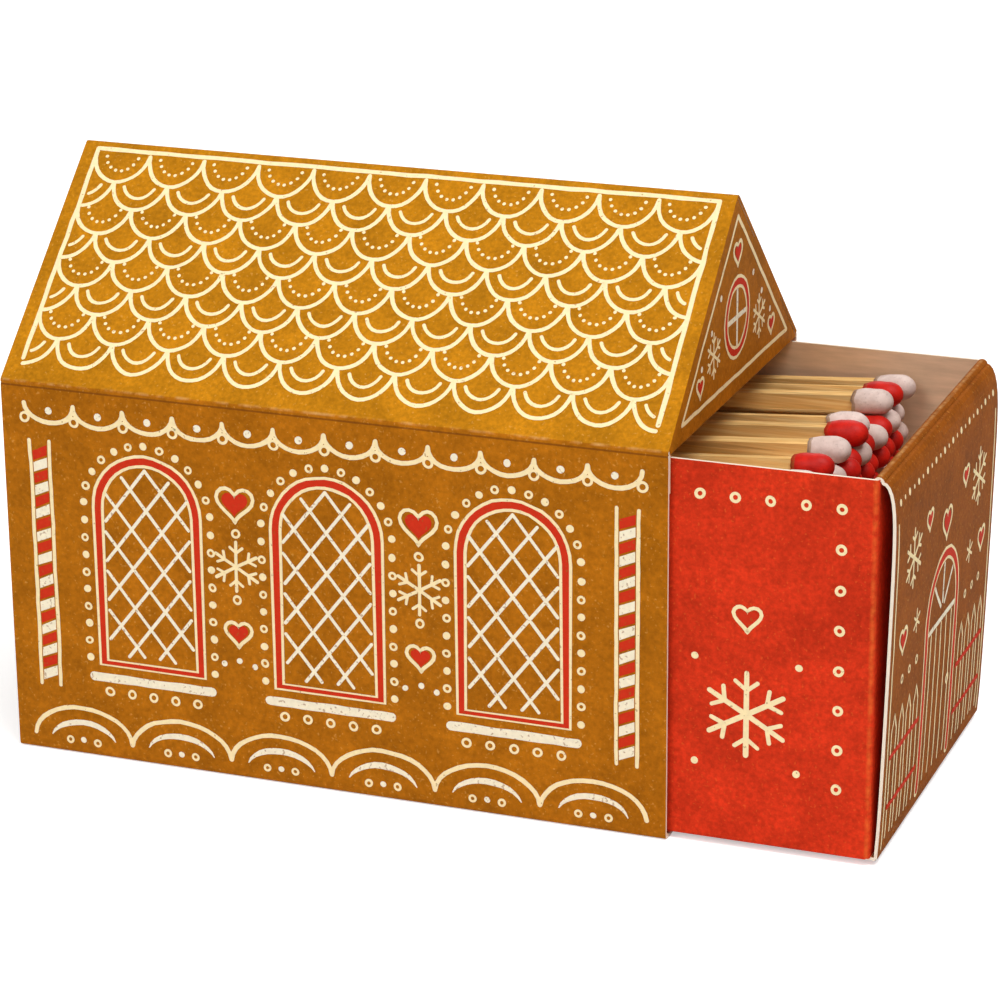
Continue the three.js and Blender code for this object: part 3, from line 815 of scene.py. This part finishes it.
def head_mesh(tip, along, seed, rings, sides):
    """A dipped head: a squarish ragged collar on the stick, straight sides and a round tip."""
    across = along.cross(Vector((0, 0, 1))).normalized()
    up = across.cross(along)
    vertices, loops = [], []
    for i in range(rings + 1):
        share = sin(pi / 2 * i / rings)
        taper = min(1.0, max(0.0, (share - 0.6) / 0.4))
        belly = min(1.0, 0.82 + 0.7 * share) * (1 - taper ** 2.1) ** 0.5
        square = max(0.0, 0.3 - 0.6 * share)
        for k in range(sides):
            turn = 2 * pi * k / sides
            corner = 1 / max(abs(cos(turn)), abs(sin(turn))) - 1
            lump = 1 + 0.05 * noise.noise(Vector((share * 3, cos(turn) * 1.3 + seed, sin(turn) * 1.3)))
            radius = HEAD_RADIUS * max(belly, 0.02) * (1 + square * corner) * lump
            ragged = 0.5 * noise.noise(Vector((turn * 1.5, seed * 2.3, 0.0))) if i < 2 else 0.0
            place = tip - along * (HEAD_LENGTH * (1 - share) + ragged)
            vertices.append((place + across * radius * cos(turn) + up * radius * sin(turn)) * MM)
    for i in range(rings):
        for k in range(sides):
            a, b = i * sides + k, i * sides + (k + 1) % sides
            loops.append((a, b, b + sides, a + sides))
    loops.append(tuple(reversed(range(sides))))
    loops.append(tuple(range(rings * sides, (rings + 1) * sides)))
    return vertices, loops


def add_piece(name, vertices, loops, material, smooth=True):
    """A mesh that rides on the tray."""
    mesh = bpy.data.meshes.new(name)
    mesh.from_pydata(vertices, [], loops)
    mesh.materials.append(materials[material])
    for polygon in mesh.polygons:
        polygon.use_smooth = smooth
    piece = bpy.data.objects.new(name, mesh)
    bpy.context.collection.objects.link(piece)
    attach(piece, TRAY)
    return piece


def stick_ends(node):
    """The middles of a stick's tail and head ends, in millimetres."""
    corners = [Vector(v.co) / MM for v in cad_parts[node].data.vertices]
    tail_x = min(c.x for c in corners) + 2
    head_x = max(c.x for c in corners) - 2
    tail = [c for c in corners if c.x < tail_x]
    head = [c for c in corners if c.x > head_x]
    return sum(tail, Vector()) / len(tail), sum(head, Vector()) / len(head)


def dress_loose_matches():
    """Rounder, slightly uneven heads for the matches that lie loose on top."""
    for number in range(1, LOOSE_MATCHES + 1):
        node = f"match_{number:02d}_head"
        tail, end = stick_ends(f"match_{number:02d}_stick")
        along = (end - tail).normalized()
        tint = "head_red" if number in RED_MATCHES else "head_white"
        rings, sides = 16, 20
        vertices, loops = head_mesh(end + along * HEAD_COVER, along, number, rings, sides)
        piece = add_piece(f"match_{number:02d}_dipped_head", vertices, loops, tint)
        piece.data.materials.append(materials[f"{tint}_collar"])
        for polygon in piece.data.polygons[:COLLAR_RINGS * sides]:
            polygon.material_index = 1
        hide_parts(node)


def scatter(seed):
    """A repeatable spread between -1 and 1."""
    return 2 * ((sin(seed * 12.9898) * 43758.5453) % 1.0) - 1


def dress_lower_matches():
    """Every match under the loose ones, as separate sticks and heads."""
    low, high = (Vector(corner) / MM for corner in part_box("lower_matches"))
    tail_x = low.x + 0.6
    parts = {"wood": ([], []), "head_red": ([], []), "head_white": ([], [])}
    for layer in range(LOWER_LAYERS):
        head_z = low.z + HEAD_RADIUS + layer * HEAD_RISE
        tail_z = low.z + STICK * 0.62 + layer * TAIL_RISE
        count = COLUMNS - layer % 2
        for column in range(count):
            seed = layer * 31 + column + 5
            y = (column - (count - 1) / 2) * PITCH
            tail = Vector((tail_x, y, tail_z))
            tip = Vector((high.x - 0.6 + 0.55 * scatter(seed), y, head_z + 0.15))
            along = (tip - tail).normalized()
            tint = "head_red" if scatter(seed * 1.7) > -0.3 else "head_white"
            add_to(parts[tint], head_mesh(tip, along, seed, 8, 12))
            add_to(parts["wood"], stick_box(tail, tip - along * HEAD_COVER, along))
    pieces = []
    for tint, (vertices, loops) in parts.items():
        piece = add_piece(f"lower_matches_{tint}", vertices, loops, tint, smooth=tint != "wood")
        pieces.append(piece)
    for piece in pieces:
        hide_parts("lower_matches")


def stick_box(start, end, along):
    """A square stick between two points."""
    across = along.cross(Vector((0, 0, 1))).normalized() * STICK / 2
    up = across.cross(along).normalized() * STICK / 2
    corners = [(-1, -1), (1, -1), (1, 1), (-1, 1)]
    vertices = [(spot + across * a + up * b) * MM for spot in (start, end) for a, b in corners]
    loops = [(0, 1, 2, 3), (7, 6, 5, 4)] + [(k, k + 4, (k + 1) % 4 + 4, (k + 1) % 4) for k in range(4)]
    return vertices, loops


def add_to(store, made):
    """Add a small mesh to a larger one."""
    vertices, loops = made
    base = len(store[0])
    store[0].extend(vertices)
    store[1].extend(tuple(base + i for i in loop) for loop in loops)


def dress_cad():
    """Give the solids that stay their materials."""
    for node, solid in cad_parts.items():
        if node == "sleeve":
            use = "sleeve"
        elif node == "tray":
            use = "tray"
        elif node.endswith("_stick"):
            use = "wood"
        else:
            continue
        for slot in solid.material_slots:
            slot.material = materials[use]


# Light
KEY_POWER = 9
OVERHEAD_POWER = 14
REAR_POWER = 5
WORLD_STRENGTH = 0.25


def make_stage():
    """The floor, the soft world and the lamps."""
    size = 3.0
    mesh = bpy.data.meshes.new("floor")
    corners = [(-size, -size, 0), (size, -size, 0), (size, size, 0), (-size, size, 0)]
    mesh.from_pydata(corners, [], [(0, 1, 2, 3)])
    mesh.materials.append(materials["floor"])
    floor = bpy.data.objects.new("floor", mesh)
    floor.location.z = -0.05 * MM
    bpy.context.collection.objects.link(floor)

    world = bpy.data.worlds.new("soft_room")
    bpy.context.scene.world = world
    world.use_nodes = True
    world.node_tree.nodes["Background"].inputs["Color"].default_value = (1.0, 1.0, 1.0, 1.0)
    world.node_tree.nodes["Background"].inputs["Strength"].default_value = WORLD_STRENGTH

    def soft_light(name, place, size_of, power):
        light = bpy.data.lights.new(name, "AREA")
        light.shape = "DISK"
        light.size = size_of
        light.energy = power
        lamp = bpy.data.objects.new(name, light)
        lamp.location = place
        lamp.rotation_euler = (Vector((0, 0, 0.04)) - Vector(place)).to_track_quat("-Z", "Y").to_euler()
        bpy.context.collection.objects.link(lamp)

    soft_light("key", (-0.4, -1.2, 1.0), 0.9, KEY_POWER)
    soft_light("overhead", (0.5, -0.3, 1.3), 0.8, OVERHEAD_POWER)
    soft_light("rear_fill", (-0.3, 1.3, 0.9), 1.0, REAR_POWER)


def make_camera():
    """The photograph's camera."""
    right = CAMERA_AHEAD.cross(Vector((0, 0, 1))).normalized()
    up = right.cross(CAMERA_AHEAD)
    side_way = right * cos(CAMERA_ROLL) + up * sin(CAMERA_ROLL)
    top_way = up * cos(CAMERA_ROLL) - right * sin(CAMERA_ROLL)
    lens = bpy.data.cameras.new("camera")
    lens.lens = CAMERA_LENS
    lens.sensor_width = 36
    lens.clip_start = 0.01
    camera = bpy.data.objects.new("camera", lens)
    turn = Matrix((side_way, top_way, -CAMERA_AHEAD)).transposed().to_4x4()
    camera.matrix_world = Matrix.Translation(CAMERA_AT) @ turn
    bpy.context.collection.objects.link(camera)
    bpy.context.scene.camera = camera


bpy.context.scene.view_settings.view_transform = "Standard"
make_camera()
make_stage()
dress_cad()
dress_loose_matches()
dress_lower_matches()
draw_all()
